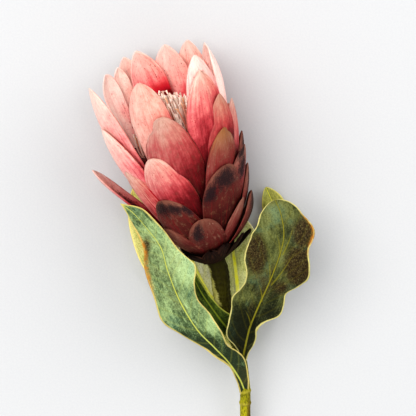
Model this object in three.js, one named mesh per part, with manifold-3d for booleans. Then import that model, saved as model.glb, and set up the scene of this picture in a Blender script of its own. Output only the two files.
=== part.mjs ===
// One cut protea flower with its leafy stem, laid on its back on a flat surface.
//
// Everything is first described as it grows, in millimetres: +Z up the flower, +X to its right and -Y
// towards the side that shows. The origin of that growth frame is the foot of the flower head, where the
// stem ends. The last section lays the whole flower down, with +Z away from the surface and +Y towards the
// top of the flower, and puts the origin under the middle of it.

import * as THREE from 'three';
import { mergeVertices } from 'three/addons/utils/BufferGeometryUtils.js';
import Module from 'manifold-3d';

const wasm = await Module();
wasm.setup();

const DEG = Math.PI / 180;

// Driving dimensions in millimetres and degrees

const HEAD = {
  lean: 18.4, // to the left of upright
  nod: 15, // towards the side that shows
  radius: 43, // widest radius over the bracts
  widestAt: 97, // height of the widest place above the foot
  footDepth: 5, // how far the bowl of bracts starts below the foot
  roundness: 1.7, // exponent of the bowl's outline
  mouthDrawIn: 2, // how much the mouth draws in above the widest place
  mouthHeight: 28, // over what height it does so
};
const BRACT = {
  thick: 1.1,
  arc: 40, // half angle of the cupped cross-section
  spacing: 0.17, // how much deeper a bract lies for each millimetre that its tip is higher
  deepest: 16, // limit of that depth
  footWidth: 0.5, // width at the foot as a share of the widest
  tipLength: 2.1, // from the tip to the widest place, in half widths
  rise: 1.35, // exponent of how evenly its rows are spread
  innermost: 4, // least radius of a foot
  mostTip: 0.6, // and at most this share of the bract
  hook: 2.5, // how far the tip curves inwards
  longest: 58, // a longer bract comes out of the cup this far below its tip
  along: 4,
  across: 3,
};
const CUP = {
  bottom: -3.5, // underside of the receptacle
  floor: 18, // where the florets stand
  top: 70, // rim of the wall that the feet of the bracts form
  under: 4.5, // how deep its outside lies under the outermost bracts
  neck: 7.5, // least radius
  bore: 12, // inner radius at the floor
  mouth: 25, // inner radius at the rim
  sides: 18,
};
const FLORET = {
  count: 84,
  foot: 11.2, // radius of the whole cone of florets at the floor of the cup
  radius: 19.5, // widest radius of its solid middle
  widestAt: 64,
  top: 84, // height of that middle
  reach: 23.5, // radius to the tips of the outermost florets
  tallest: 103, // height of the tips at the axis
  lowest: 84, // and round the outside
  uneven: 5, // range of the tips' heights round that
  bulge: 2.5, // how far the outermost florets bow outwards
  length: 34,
  thick: 1.1, // radius of a floret at its foot
  thin: 0.6, // and near its tip
  steps: 2,
  seed: 7,
};
const SCALE = {
  thick: 1,
  count: 12,
  disc: 8, // radius of the thin disc that carries the scales
  discThick: 2.6,
  footHeight: 0.7, // of a scale's foot above the underside of the disc
  cup: 0.12, // how far its margins curl in, as a share of its half width
  along: 3,
  across: 2,
  seed: 3,
};
const STEM = {
  thick: 5.8, // radius under the head
  thin: 3.3, // radius from the leaves down
  taperFrom: 8, // distances below the head between which it thins
  taperTo: 74,
  length: 170,
  ring: 0.7, // how far the scar of an old leaf stands out
  ringShare: 0.008, // half the height of a scar as a share of the stem's length
  cutSlope: 22, // of the cut end, in degrees
  sides: 10,
  steps: 16,
};
const LEAF = {
  thick: 0.8,
  fold: 10, // how much its halves rise from the midrib, in degrees
  along: 13,
  across: 4,
};
const REST = { tilt: 6.97, roll: 1.08 }; // from level along the stem to its three low points
const GAP = 0.3; // between neighbouring pieces
const GOLDEN_ANGLE = 137.508;

// Colours

const COLOUR = {
  bract: 0xd9777f,
  scale: 0x3a2220,
  floret: 0xe0b48c,
  stem: 0x7d8a2c,
  leaf: 0x54755c,
};

// Helper functions

const clamp = (x, low, high) => Math.min(Math.max(x, low), high);

// A repeatable stream of numbers from 0 to 1.
function seededRandom(seed) {
  let state = seed;
  return () => {
    state = (state * 1664525 + 1013904223) % 4294967296;
    return state / 4294967296;
  };
}

// A value read from a short list of values at even steps, with smooth passages.
function along(values, s) {
  const place = clamp(s, 0, 1) * (values.length - 1);
  const i = Math.min(Math.floor(place), values.length - 2);
  const u = place - i;
  const before = values[Math.max(i - 1, 0)];
  const after = values[Math.min(i + 2, values.length - 1)];
  const slopeIn = (values[i + 1] - before) / 2;
  const slopeOut = (after - values[i]) / 2;
  const rise = values[i + 1] - values[i];
  const second = 3 * rise - 2 * slopeIn - slopeOut;
  const third = slopeIn + slopeOut - 2 * rise;
  return values[i] + u * (slopeIn + u * (second + u * third));
}

function solidFromGeometry(geometry) {
  const bare = geometry.clone();
  bare.deleteAttribute('normal');
  bare.deleteAttribute('uv');
  const merged = mergeVertices(bare, 1e-4);
  return new wasm.Manifold(
    new wasm.Mesh({
      numProp: 3,
      vertProperties: merged.attributes.position.array,
      triVerts: new Uint32Array(merged.index.array),
    }),
  );
}

function geometryFromSolid(solid) {
  const mesh = solid.getMesh();
  const positions = new Float32Array(mesh.numVert * 3);
  for (let i = 0; i < mesh.numVert; i++) {
    for (let axis = 0; axis < 3; axis++) {
      positions[3 * i + axis] = mesh.vertProperties[mesh.numProp * i + axis];
    }
  }
  const geometry = new THREE.BufferGeometry();
  geometry.setAttribute('position', new THREE.BufferAttribute(positions, 3));
  geometry.setIndex(new THREE.BufferAttribute(mesh.triVerts, 1));
  geometry.computeVertexNormals();
  return geometry;
}

// All the solids as one body, with the pockets that they close off filled and loose scraps dropped.
function fused(solids) {
  const shells = wasm.Manifold.union(solids).decompose();
  return shells.reduce((largest, shell) => (shell.volume() > largest.volume() ? shell : largest));
}

// A turned solid about the head's axis, from [radius, height] pairs that start and end on the axis.
function turned(profile, sides) {
  const points = profile.map(([r, z]) => new THREE.Vector2(r, z));
  return new THREE.LatheGeometry(points, sides).rotateX(Math.PI / 2);
}

// A thin blade: surface(a, t) gives its middle surface for a from 0 at the foot to 1 at the tip, and t from
// -1 to 1 across. Both faces have the same grid and the same triangles.
function bladeGeometry(surface, thickness, alongSteps, acrossSteps) {
  const columns = acrossSteps + 1;
  const rows = alongSteps + 1;
  const reach = 0.01;
  const faces = [[], []];
  for (let i = 0; i < rows; i++) {
    for (let j = 0; j < columns; j++) {
      const a = i / alongSteps;
      const t = (2 * j) / acrossSteps - 1;
      const middle = surface(a, t);
      const forwards = surface(Math.min(a + reach, 1), t).sub(surface(Math.max(a - reach, 0), t));
      const sideways = surface(a, Math.min(t + reach, 1)).sub(surface(a, Math.max(t - reach, -1)));
      const normal = sideways.cross(forwards).normalize();
      faces[0].push(middle.clone().addScaledVector(normal, thickness / 2));
      faces[1].push(middle.clone().addScaledVector(normal, -thickness / 2));
    }
  }
  const positions = [...faces[0], ...faces[1]].flatMap((p) => p.toArray());
  const count = rows * columns;
  const index = [];
  const addQuad = (a, b, c, d) => index.push(a, b, c, a, c, d);
  for (let i = 0; i < alongSteps; i++) {
    for (let j = 0; j < acrossSteps; j++) {
      const a = i * columns + j;
      const b = a + 1;
      const c = b + columns;
      const d = a + columns;
      index.push(a, b, c, a, c, d);
      index.push(a + count, c + count, b + count, a + count, d + count, c + count);
    }
  }
  for (let j = 0; j < acrossSteps; j++) {
    const top = alongSteps * columns + j;
    addQuad(j, j + count, j + 1 + count, j + 1);
    addQuad(top + 1, top + 1 + count, top + count, top);
  }
  for (let i = 0; i < alongSteps; i++) {
    const left = i * columns;
    const right = left + acrossSteps;
    addQuad(left + columns, left + columns + count, left + count, left);
    addQuad(right, right + count, right + columns + count, right + columns);
  }
  const geometry = new THREE.BufferGeometry();
  geometry.setAttribute('position', new THREE.Float32BufferAttribute(positions, 3));
  geometry.setIndex(index);
  return geometry;
}

function smoothCurve(points) {
  const vectors = points.map((p) => new THREE.Vector3(...p));
  return new THREE.CatmullRomCurve3(vectors, false, 'catmullrom', 0.5);
}

// Flower head: the frame, its outline and its bracts. In the head's own frame +Z is its axis.

const headPlace = new THREE.Matrix4().makeRotationFromEuler(
  new THREE.Euler(HEAD.nod * DEG, -HEAD.lean * DEG, 0, 'YXZ'),
);

// Radius of the bowl over the outermost bracts, at a height above the foot.
function bowlRadius(height) {
  if (height > HEAD.widestAt) {
    return HEAD.radius - HEAD.mouthDrawIn * ((height - HEAD.widestAt) / HEAD.mouthHeight) ** 2;
  }
  const rise = clamp((height + HEAD.footDepth) / (HEAD.widestAt + HEAD.footDepth), 0, 1);
  return HEAD.radius * Math.sqrt(1 - (1 - rise) ** HEAD.roundness);
}

// Each bract: azimuth from the showing side towards the right, height of its tip, half its width, how
// pointed it is from 0.5 for round to 1 for sharp, how far its tip flares outwards, how far its tip turns
// round the head, in degrees, and for some how far below the tip it is widest, in half widths, and how far
// its middle bulges outwards.
const BRACTS = [
  // tall inner bracts, round the mouth
  [-69, 119, 16.5, 0.85, 0.5, 0],
  [-131.5, 117, 7.6, 0.6, -3, 0],
  [-149, 117.5, 6, 0.8, -1, 0],
  [-159, 121.5, 9, 0.8, 1.6, 0],
  [-182, 123.2, 10.8, 0.75, -3, 10],
  [163, 121.2, 12.5, 0.7, -1.3, 0],
  [140.5, 120.4, 14, 0.7, 1, 0],
  [114, 118, 11, 0.9, -1, 0],
  [92, 117, 11, 0.9, -4, 0],
  [44, 120.5, 14, 0.75, -1.5, 0],
  [-15, 117, 11.8, 0.65, 0, 0],
  [37.5, 112, 15, 0.75, 2.2, 0],
  // second row
  [-64, 95, 15, 0.85, 2, 0],
  [-7, 95, 15.3, 0.55, 0, 0],
  [50, 95, 14.5, 0.8, 2.1, 0],
  [74, 87, 13.5, 0.8, 0.8, 0],
  [108, 80, 14, 0.8, -1.5, 0],
  [140, 95, 15, 0.7, 0, 0],
  [178, 98, 16, 0.7, 0, 0],
  [-143, 95, 15, 0.7, 0, 0],
  [-110, 92, 15, 0.8, 0, 0],
  // third row
  [-24, 73, 14.3, 0.55, 0, 0],
  [44.5, 75.5, 15, 0.6, 2, 0],
  [88, 64, 12, 0.7, 2, 0],
  [-60, 69, 13.5, 0.8, 0, 0],
  [66, 59.5, 14.5, 0.7, 4, 0],
  [122, 72, 14, 0.7, 1, 0],
  [153, 70, 14, 0.7, 4.5, 0],
  [-163, 72, 14, 0.7, 3.5, 0],
  [-125, 70, 14, 0.7, 0, 0],
  // fourth row
  [41.5, 54.5, 16.5, 0.55, 2.8, -4, 1.2],
  [-33, 46, 15, 0.5, 0, 0],
  [-98, 68, 7.5, 0.8, 15, 0],
  [92, 44, 12, 0.7, 4, 0, BRACT.tipLength, 2],
  [142, 46, 13, 0.7, 1, 0],
  [180, 45, 13, 0.7, 0, 0],
  [-142, 46, 13, 0.7, 0, 0],
  // fifth row
  [-1, 28, 11.3, 0.5, 1.5, 0],
  [-58, 26, 11, 0.6, 0, 0],
  [63, 29, 11, 0.7, 3, 0],
  [84, 28.5, 13, 0.6, 5.5, 0, BRACT.tipLength, 4.5],
  [124, 25, 12, 0.7, 3, 0],
  [162, 28, 11, 0.7, 0, 0],
  [-160, 28, 11, 0.7, 0, 0],
  [-120, 27, 11, 0.7, 0, 0],
  [-85, 27, 11, 0.7, 0, 0],
];

function bractSurface(row) {
  const [azimuth, tip, halfWidth, point, flare, turn, blunt = BRACT.tipLength, belly = 0] = row;
  const foot = clamp(tip / 12, 0, 8) - 4;
  const length = tip - foot;
  const root = Math.max(foot, tip - BRACT.longest);
  const tipLength = Math.min(blunt * halfWidth, BRACT.mostTip * length);
  return (a, t) => {
    const height = root + (tip - root) * Math.sin((a * Math.PI) / 2) ** BRACT.rise;
    const below = tip - height;
    const risen = (height - foot) / length;
    const depth = BRACT.deepest * (1 - Math.exp((-BRACT.spacing * below) / BRACT.deepest));
    const angle = (azimuth + turn * risen) * DEG;
    const out = new THREE.Vector3(Math.sin(angle), -Math.cos(angle), 0);
    const side = new THREE.Vector3(Math.cos(angle), Math.sin(angle), 0);
    const up = clamp(1 - below / tipLength, 0, 0.995);
    const lean = flare * risen ** 1.5 + belly * Math.sin(Math.PI * risen) - BRACT.hook * up * up;
    const radius = Math.max(bowlRadius(height) - depth, BRACT.innermost) + lean;
    const down = clamp((below - tipLength) / (length - tipLength), 0, 1);
    const width = halfWidth * (1 - up * up) ** point * (1 - (1 - BRACT.footWidth) * down * down);
    const arcRadius = width / Math.sin(BRACT.arc * DEG);
    const across = arcRadius * Math.sin(t * BRACT.arc * DEG);
    const inwards = arcRadius * (1 - Math.cos(t * BRACT.arc * DEG));
    return out
      .multiplyScalar(radius - inwards)
      .addScaledVector(side, across)
      .add(new THREE.Vector3(0, 0, height));
  };
}

// The receptacle and the thick cup above it, where the feet of all bracts have grown together.
function makeCup() {
  const outerRadius = (height) => Math.max(CUP.neck, bowlRadius(height) - CUP.under);
  const heights = [2, 12, 22, 34, CUP.top];
  const profile = [
    [0, CUP.bottom],
    [CUP.neck, CUP.bottom],
    ...heights.map((height) => [outerRadius(height), height]),
    [CUP.mouth, CUP.top],
    [(CUP.mouth + CUP.bore) / 2 + 1, (CUP.top + CUP.floor) / 2],
    [CUP.bore, CUP.floor],
    [0, CUP.floor],
  ];
  return solidFromGeometry(turned(profile, CUP.sides));
}

function makeBracts() {
  const solids = BRACTS.map((bract) =>
    solidFromGeometry(bladeGeometry(bractSurface(bract), BRACT.thick, BRACT.along, BRACT.across)),
  );
  solids.push(makeCup());
  return fused(solids);
}

// Dark scales round the foot of the head, on a thin disc between the receptacle and the stem

const discTop = CUP.bottom - GAP;
const discBottom = discTop - SCALE.discThick;

// The scales that show: azimuth, height and radius of the tip, and half width.
const SCALES = [
  [-52, 4, 18, 7],
  [-2, 4, 17.5, 8.5],
  [28, 5.5, 19, 7],
  [62, 7, 24, 7],
  [92, 4.4, 26.3, 6],
];

function scaleSurface([azimuth, tip, radius, halfWidth]) {
  const angle = azimuth * DEG;
  const out = new THREE.Vector3(Math.sin(angle), -Math.cos(angle), 0);
  const side = new THREE.Vector3(Math.cos(angle), Math.sin(angle), 0);
  const foot = discBottom + SCALE.footHeight;
  const footRadius = SCALE.disc - 2;
  return (a, t) => {
    const width = halfWidth * (0.6 + 0.6 * a) * Math.max(1 - a ** 3, 0.1);
    const curl = SCALE.cup * halfWidth * t * t;
    const height = foot + (tip - foot) * a ** 1.4 + curl;
    return out
      .clone()
      .multiplyScalar(footRadius + (radius - footRadius) * a - curl)
      .addScaledVector(side, width * t)
      .add(new THREE.Vector3(0, 0, height));
  };
}

function makeScales() {
  const random = seededRandom(SCALE.seed);
  const hidden = SCALE.count - SCALES.length;
  const specs = [...SCALES];
  for (let i = 0; i < hidden; i++) {
    const azimuth = 122 + (i * 155) / (hidden - 1);
    const tip = 2 + 4 * random();
    specs.push([azimuth, tip, bowlRadius(tip) + 1 + 2 * random(), 6 + random()]);
  }
  const profile = [
    [0, discBottom],
    [SCALE.disc, discBottom],
    [SCALE.disc, discTop],
    [0, discTop],
  ];
  const solids = [solidFromGeometry(turned(profile, CUP.sides))];
  specs.forEach((spec) => {
    const blade = bladeGeometry(scaleSurface(spec), SCALE.thick, SCALE.along, SCALE.across);
    solids.push(solidFromGeometry(blade));
  });
  return fused(solids);
}

// Florets: a cone of slender florets standing in the cup

// A three-sided floret from its foot to its tip, bent in towards the axis on its way.
function floretGeometry(foot, tip, bend) {
  const middle = foot.clone().lerp(tip, 0.55).add(bend);
  const curve = new THREE.QuadraticBezierCurve3(foot, middle, tip);
  const steps = FLORET.steps;
  const positions = [];
  for (let i = 0; i <= steps; i++) {
    const u = i / steps;
    const radius = FLORET.thick + (FLORET.thin - FLORET.thick) * u;
    const centre = curve.getPoint(u);
    for (let k = 0; k < 3; k++) {
      const angle = (k * 2 * Math.PI) / 3;
      positions.push(centre.x + radius * Math.cos(angle), centre.y + radius * Math.sin(angle), centre.z);
    }
  }
  const index = [0, 2, 1];
  for (let i = 0; i < steps; i++) {
    for (let k = 0; k < 3; k++) {
      const a = 3 * i + k;
      const b = 3 * i + ((k + 1) % 3);
      index.push(a, b, b + 3, a, b + 3, a + 3);
    }
  }
  index.push(3 * steps, 3 * steps + 1, 3 * steps + 2);
  const geometry = new THREE.BufferGeometry();
  geometry.setAttribute('position', new THREE.Float32BufferAttribute(positions, 3));
  geometry.setIndex(index);
  return geometry;
}

function makeFlorets() {
  const random = seededRandom(FLORET.seed);
  const floor = CUP.floor + GAP;
  const profile = [
    [0, floor],
    [FLORET.foot, floor],
    [FLORET.radius - 2.5, 40],
    [FLORET.radius, FLORET.widestAt],
    [FLORET.radius * 0.75, FLORET.top - 8],
    [0, FLORET.top],
  ];
  const solids = [solidFromGeometry(turned(profile, 12))];
  for (let i = 0; i < FLORET.count; i++) {
    const share = Math.sqrt((i + 0.5) / FLORET.count);
    const angle = i * GOLDEN_ANGLE * DEG;
    const out = new THREE.Vector3(Math.cos(angle), Math.sin(angle), 0);
    const evenHeight = FLORET.tallest + (FLORET.lowest - FLORET.tallest) * share ** 2;
    const up = evenHeight + FLORET.uneven * (random() - 0.5);
    const tip = out.clone().multiplyScalar(FLORET.reach * share);
    tip.z = up;
    const foot = out.clone().multiplyScalar(FLORET.radius * 0.8 * share);
    foot.z = up - FLORET.length;
    const bend = out.clone().multiplyScalar(FLORET.bulge * share);
    solids.push(solidFromGeometry(floretGeometry(foot, tip, bend)));
  }
  return fused(solids);
}

// Stem: a turned rod with the rings of old leaf scars, bent along its line

// The middle line of the stem, from the foot of the head down to the cut. It starts along the head's axis.
const stemTop = discBottom - GAP;
const onAxis = (height) => new THREE.Vector3(0, 0, height).applyMatrix4(headPlace).toArray();
const STEM_LINE = [
  onAxis(stemTop),
  onAxis(stemTop - 8),
  [6.6, 9, -31],
  [11, 13, -46],
  [17, 17.8, -64],
  [20.2, 23, -84],
  [20.6, 29, -104],
  [22.5, 37.5, -134],
  [24.5, 45, -160],
];
const stemCurve = smoothCurve(STEM_LINE);
// Heights down the stem, as shares of its length, of the rings that old leaves have left.
const STEM_RINGS = [0.36, 0.53, 0.58, 0.8];

function stemRadius(s) {
  const taper = THREE.MathUtils.smoothstep(s * STEM.length, STEM.taperFrom, STEM.taperTo);
  return STEM.thick + (STEM.thin - STEM.thick) * taper;
}

function makeStem(extra = 0) {
  const profile = [[0, 0]];
  for (let i = 0; i <= STEM.steps; i++) {
    profile.push([stemRadius(i / STEM.steps) + extra, i / STEM.steps]);
  }
  STEM_RINGS.forEach((ring) => {
    profile.push([stemRadius(ring) + extra, ring - STEM.ringShare]);
    profile.push([stemRadius(ring) + extra + STEM.ring, ring]);
    profile.push([stemRadius(ring) + extra, ring + STEM.ringShare]);
  });
  profile.sort((p, q) => p[1] - q[1] || p[0] - q[0]);
  profile.push([0, 1]);
  const outline = profile.map(([r, s]) => new THREE.Vector2(r, s));
  const rod = new THREE.LatheGeometry(outline, STEM.sides);
  const position = rod.attributes.position;
  const slope = Math.tan(STEM.cutSlope * DEG);
  for (let i = 0; i < position.count; i++) {
    const s = clamp(position.getY(i), 0, 1);
    const x = position.getX(i);
    const z = position.getZ(i);
    const point = stemCurve.getPointAt(s);
    const down = stemCurve.getTangentAt(s);
    const side = new THREE.Vector3(0, 1, 0).cross(down).normalize();
    const front = side.clone().cross(down);
    const beyond = s === 1 ? slope * z + extra : 0;
    point.addScaledVector(side, x).addScaledVector(front, z).addScaledVector(down, beyond);
    position.setXYZ(i, point.x, point.y, point.z);
  }
  return solidFromGeometry(rod);
}

// Leaves: each has its midrib from inside the stem to its tip, its half widths to the left and right at
// even steps along it, the direction that its upper face looks, how round its tip is, and its waves.
const LEAVES = {
  leaf_front_left: {
    rib: [
      [20.4, 23, -88],
      [17, 15, -79],
      [10, 6, -68],
      [1, -1, -58],
      [-9, -8, -47],
      [-19, -14, -30],
      [-26, -20, -12],
      [-30, -25, 2],
      [-38, -25, 13],
      [-46, -23, 22],
      [-54, -21, 28],
    ],
    left: [3.2, 2.4, 1.4, 3.4, 5.4, 10, 14.8, 13, 13, 11.5, 7.2, 5, 3],
    right: [2.5, 5.6, 9.4, 7, 10.4, 12, 10.2, 12.3, 16.5, 8.4, 7.2, 6, 3],
    face: [0, -1, 0],
    round: 1,
    waves: 3.5,
    wave: 2.6,
    phase: 40,
  },
  leaf_front_right: {
    rib: [
      [18.5, 18.5, -68],
      [20.5, 10, -57],
      [23, 3, -46],
      [28, -4, -33],
      [36, -11, -14],
      [42, -17, 6],
      [41, -16, 20],
      [37.5, -11, 30],
    ],
    left: [2.5, 3.5, 7.5, 13.5, 14, 14.9, 17, 14.9, 14.4, 16.4, 19.8, 20.5, 19.8, 19.4, 15.3, 12.4, 10],
    right: [2.5, 3.3, 5.3, 5.4, 4.2, 7, 13.6, 13.9, 12.4, 17, 20.1, 18.4, 15.5, 18.3, 13.9, 10, 7.3],
    face: [0.1, -1, 0],
    round: 0.5,
    waves: 2.5,
    wave: 2.6,
    phase: 200,
  },
  leaf_back_right: {
    rib: [
      [16, 17, -61],
      [21, 22, -51],
      [25, 26, -36],
      [31, 27, -14],
      [37, 25.5, 6],
      [39, 22.5, 22],
      [33, 18.5, 38],
    ],
    left: [2.5, 5, 8, 10, 11, 11, 10.5, 10, 9, 7, 5],
    right: [2.5, 5, 8, 10, 11, 11, 10.5, 10, 9, 7, 5],
    face: [0, -1, 0],
    round: 0.6,
    waves: 2.5,
    wave: 1.5,
    phase: 90,
  },
  leaf_back_centre_left: {
    rib: [
      [9, 11, -40],
      [4, 14, -34],
      [-2, 16, -27],
      [-8, 18, -16],
      [-13, 19.5, -4],
      [-16, 20.5, 8],
      [-17, 20.5, 20],
    ],
    left: [2.5, 5, 8, 10, 10, 10, 9.5, 9, 7.5, 5.5, 4],
    right: [2.5, 4, 6, 8, 9.5, 10, 9.5, 9, 7.5, 5.5, 4],
    face: [0, -1, 0],
    round: 0.8,
    waves: 2.5,
    wave: 1,
    phase: 0,
  },
  leaf_back_centre_right: {
    rib: [
      [13.5, 15, -54],
      [15.6, 17.5, -44],
      [15.6, 18, -24],
      [12.4, 18.5, 2],
      [9, 20.5, 18],
      [6.5, 21.5, 32],
    ],
    left: [2.5, 4, 7, 9, 11, 12, 12, 11, 9, 6.5, 4],
    right: [2.5, 5, 8, 11, 13, 14.5, 16, 15.5, 12, 8, 4],
    face: [0.05, -1, 0],
    round: 0.8,
    waves: 2.5,
    wave: 1.2,
    phase: 150,
  },
  leaf_low_small: {
    rib: [
      [12.5, 14, -51],
      [8, 8, -46],
      [2, 5, -38],
      [-5, 4, -28],
      [-10, 5, -19],
      [-14, 7, -10],
    ],
    left: [2.5, 5, 6, 6.5, 6.5, 6, 5.5, 5, 4, 3, 2],
    right: [2.5, 7, 8.5, 6, 4.5, 4, 3.5, 3.5, 3, 2.5, 2],
    face: [0, -1, 0],
    round: 1,
    waves: 2,
    wave: 0.6,
    phase: 0,
  },
  leaf_back_left: {
    rib: [
      [14.5, 16, -59],
      [8, 21, -51],
      [-7, 25, -36],
      [-20, 26, -20],
      [-32, 25, -5],
      [-43, 22, 17],
      [-48.6, 18, 37],
    ],
    left: [2.5, 5, 9, 12, 13, 13, 12, 11, 9, 6, 4],
    right: [2.5, 5, 9, 12, 13, 13, 12, 11, 9, 6, 4],
    face: [0, -1, 0],
    round: 0.9,
    waves: 2.5,
    wave: 1.5,
    phase: 120,
  },
};

function leafSurface({ rib, left, right, face, round, waves, wave, phase }) {
  const curve = smoothCurve(rib);
  const facing = new THREE.Vector3(...face).normalize();
  const lastStep = 0.9;
  return (a, t) => {
    const s = a * (1.25 - 0.25 * a);
    const tangent = curve.getTangentAt(s);
    const side = tangent.clone().cross(facing).normalize();
    const up = side.clone().cross(tangent);
    const close = clamp((s - lastStep) / (1 - lastStep), 0, 0.99);
    const width = along(t < 0 ? left : right, s) * (1 - close * close) ** round;
    const edge = Math.abs(t);
    const swing = Math.sin(2 * Math.PI * waves * s + phase * DEG + (t < 0 ? Math.PI * 0.6 : 0));
    const body = Math.sin(Math.PI * Math.min(s * 1.6, 0.5)) * (1 - close);
    const rise = Math.tan(LEAF.fold * DEG) * width * edge + wave * swing * edge ** 2 * body;
    return curve
      .getPointAt(s)
      .addScaledVector(side, width * t)
      .addScaledVector(up, rise);
  };
}

function makeLeaf(spec, keptFree) {
  const blade = bladeGeometry(leafSurface(spec), LEAF.thick, LEAF.along, LEAF.across);
  return solidFromGeometry(blade).subtract(keptFree);
}

// The flower as it grows

const flower = new THREE.Group();
const headGroup = new THREE.Group();
headGroup.applyMatrix4(headPlace);
flower.add(headGroup);

function addMesh(parent, name, solid, colour, roughness) {
  const material = new THREE.MeshStandardMaterial({ color: colour, roughness, metalness: 0 });
  const mesh = new THREE.Mesh(geometryFromSolid(solid), material);
  mesh.name = name;
  parent.add(mesh);
}

addMesh(headGroup, 'bracts', makeBracts(), COLOUR.bract, 0.6);
addMesh(headGroup, 'base_scales', makeScales(), COLOUR.scale, 0.7);
addMesh(headGroup, 'floret_cone', makeFlorets(), COLOUR.floret, 0.7);
addMesh(flower, 'stem', makeStem(), COLOUR.stem, 0.6);
const fatStem = makeStem(GAP);
for (const [name, spec] of Object.entries(LEAVES)) {
  addMesh(flower, name, makeLeaf(spec, fatStem), COLOUR.leaf, 0.6);
}

// The flower lying on its back: two bracts and the cut end of the stem touch the surface

flower.rotation.set(-(90 + REST.tilt) * DEG, REST.roll * DEG, 0, 'YXZ');
const reach = new THREE.Box3().setFromObject(flower, true);
const middle = reach.getCenter(new THREE.Vector3());
flower.position.set(-middle.x, -middle.y, -reach.min.z);

const part = new THREE.Group();
part.add(flower);
export default part;
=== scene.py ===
# A cut protea flower that lies on its back on a pale floor, seen from above.
# The forms are worked out in millimetres as the flower grows: +Z up the flower, +X to its right and -Y to
# the side that shows, with the origin at the foot of the head. They are then laid down and scaled to metres.

from dataclasses import dataclass, field
from math import atan, cos, pi, sin, sqrt, tan

import bpy
import numpy as np
from mathutils import Matrix, Vector


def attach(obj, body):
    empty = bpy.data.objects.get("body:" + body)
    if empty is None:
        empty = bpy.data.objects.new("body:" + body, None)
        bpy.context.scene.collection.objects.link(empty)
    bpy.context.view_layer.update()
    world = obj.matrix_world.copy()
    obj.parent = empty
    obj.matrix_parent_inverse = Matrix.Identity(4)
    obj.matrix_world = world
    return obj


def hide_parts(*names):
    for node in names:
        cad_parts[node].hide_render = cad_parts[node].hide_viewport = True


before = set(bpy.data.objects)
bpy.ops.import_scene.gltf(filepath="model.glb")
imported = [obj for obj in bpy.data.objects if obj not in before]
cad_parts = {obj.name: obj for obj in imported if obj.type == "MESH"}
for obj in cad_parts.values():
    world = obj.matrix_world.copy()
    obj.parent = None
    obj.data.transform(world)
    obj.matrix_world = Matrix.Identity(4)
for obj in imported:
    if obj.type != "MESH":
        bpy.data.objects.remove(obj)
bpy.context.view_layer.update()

MM = 0.001
DEG = pi / 180
SCENE = bpy.context.scene
GOLDEN_ANGLE = 137.508 * DEG
FRONT = (0, -1, 0)
BACK = (0, 1, 0)

# Placement

REST = Matrix.Rotation(1.08 * DEG, 3, "Y") @ Matrix.Rotation(-96.97 * DEG, 3, "X")
REST_ORIGIN = np.array([5.15671, 20.34441, 28.75267])
HEAD_TURN = Matrix.Rotation(-18.4 * DEG, 3, "Y") @ Matrix.Rotation(15 * DEG, 3, "X")


def laid_down(points):
    return (points @ np.array(REST).T + REST_ORIGIN) * MM


def from_head(points):
    return points @ np.array(HEAD_TURN).T


# Small helpers


def ease(x, low, high):
    """From 0 to 1 while x goes from low to high."""
    u = np.clip((x - low) / (high - low), 0, 1)
    return u * u * (3 - 2 * u)


def hump(x, middle, reach):
    """One at the middle, and falling away on both sides of it."""
    return np.exp(-(((x - middle) / reach) ** 2))


def unit(vectors):
    return vectors / np.maximum(np.linalg.norm(vectors, axis=-1, keepdims=True), 1e-9)


def vector(x, y, z):
    return np.stack(np.broadcast_arrays(x, y, z), -1).astype(float)


def even_angles(sides):
    return np.arange(sides) * 2 * pi / sides


def ripple(x, y, seed, octaves=4):
    """Uneven waves between about -1 and 1, the coarsest about one long."""
    rng = np.random.default_rng(seed)
    total, weight = 0, 0
    for k in range(octaves):
        for _ in range(3):
            angle = rng.uniform(0, 2 * pi)
            scale = 2 ** k * rng.uniform(4.5, 7.5)
            phase = rng.uniform(0, 2 * pi)
            total = total + np.sin(scale * (x * cos(angle) + y * sin(angle)) + phase) / 2 ** k
            weight += 1 / 2 ** k
    return total / weight * 1.6


def passage(start, end, slope_in, slope_out, u):
    """A smooth passage from one value to the next, with a slope for each end."""
    rise = end - start
    bend = slope_in + slope_out - 2 * rise
    return start + u * (slope_in + u * (rise - slope_in - bend + u * bend))


def along(values, s):
    """A value read from a short list of values at even steps, with smooth passages."""
    values = np.array(values, float)
    place = np.clip(s, 0, 1) * (len(values) - 1)
    i = np.minimum(np.floor(place).astype(int), len(values) - 2)
    start, end = values[i], values[i + 1]
    slope_in = (end - values[np.maximum(i - 1, 0)]) / 2
    slope_out = (values[np.minimum(i + 2, len(values) - 1)] - start) / 2
    return passage(start, end, slope_in, slope_out, place - i)


class Line:
    """A smooth curve through points, read by its share of the length."""

    def __init__(self, points):
        p = np.array(points, float)
        p = np.vstack([2 * p[0] - p[1], p, 2 * p[-1] - p[-2]])
        slopes = (p[2:] - p[:-2]) / 2
        u = np.linspace(0, 1, 80, endpoint=False)[:, None]
        pieces = [passage(p[k + 1], p[k + 2], slopes[k], slopes[k + 1], u) for k in range(len(slopes) - 1)]
        self.samples = np.vstack([*pieces, p[-2]])
        steps = np.linalg.norm(np.diff(self.samples, axis=0), axis=1)
        self.lengths = np.concatenate([[0], np.cumsum(steps)])
        self.length = self.lengths[-1]

    def point(self, s):
        d = np.clip(s, 0, 1) * self.length
        return np.stack([np.interp(d, self.lengths, self.samples[:, k]) for k in range(3)], -1)

    def tangent(self, s):
        step = 0.004
        return unit(self.point(np.minimum(s + step, 1)) - self.point(np.maximum(s - step, 0)))

    def rings(self, s, x, z):
        """Rings of points round the line, from how far each lies to the side of it and to the front."""
        tangent = self.tangent(s)
        side = unit(np.cross(BACK, tangent))
        front = np.cross(side, tangent)
        return self.point(s)[:, None] + side[:, None] * x[..., None] + front[:, None] * z[..., None]


def add_object(name, data):
    new = bpy.data.objects.new(name, data)
    SCENE.collection.objects.link(new)
    return new


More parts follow.
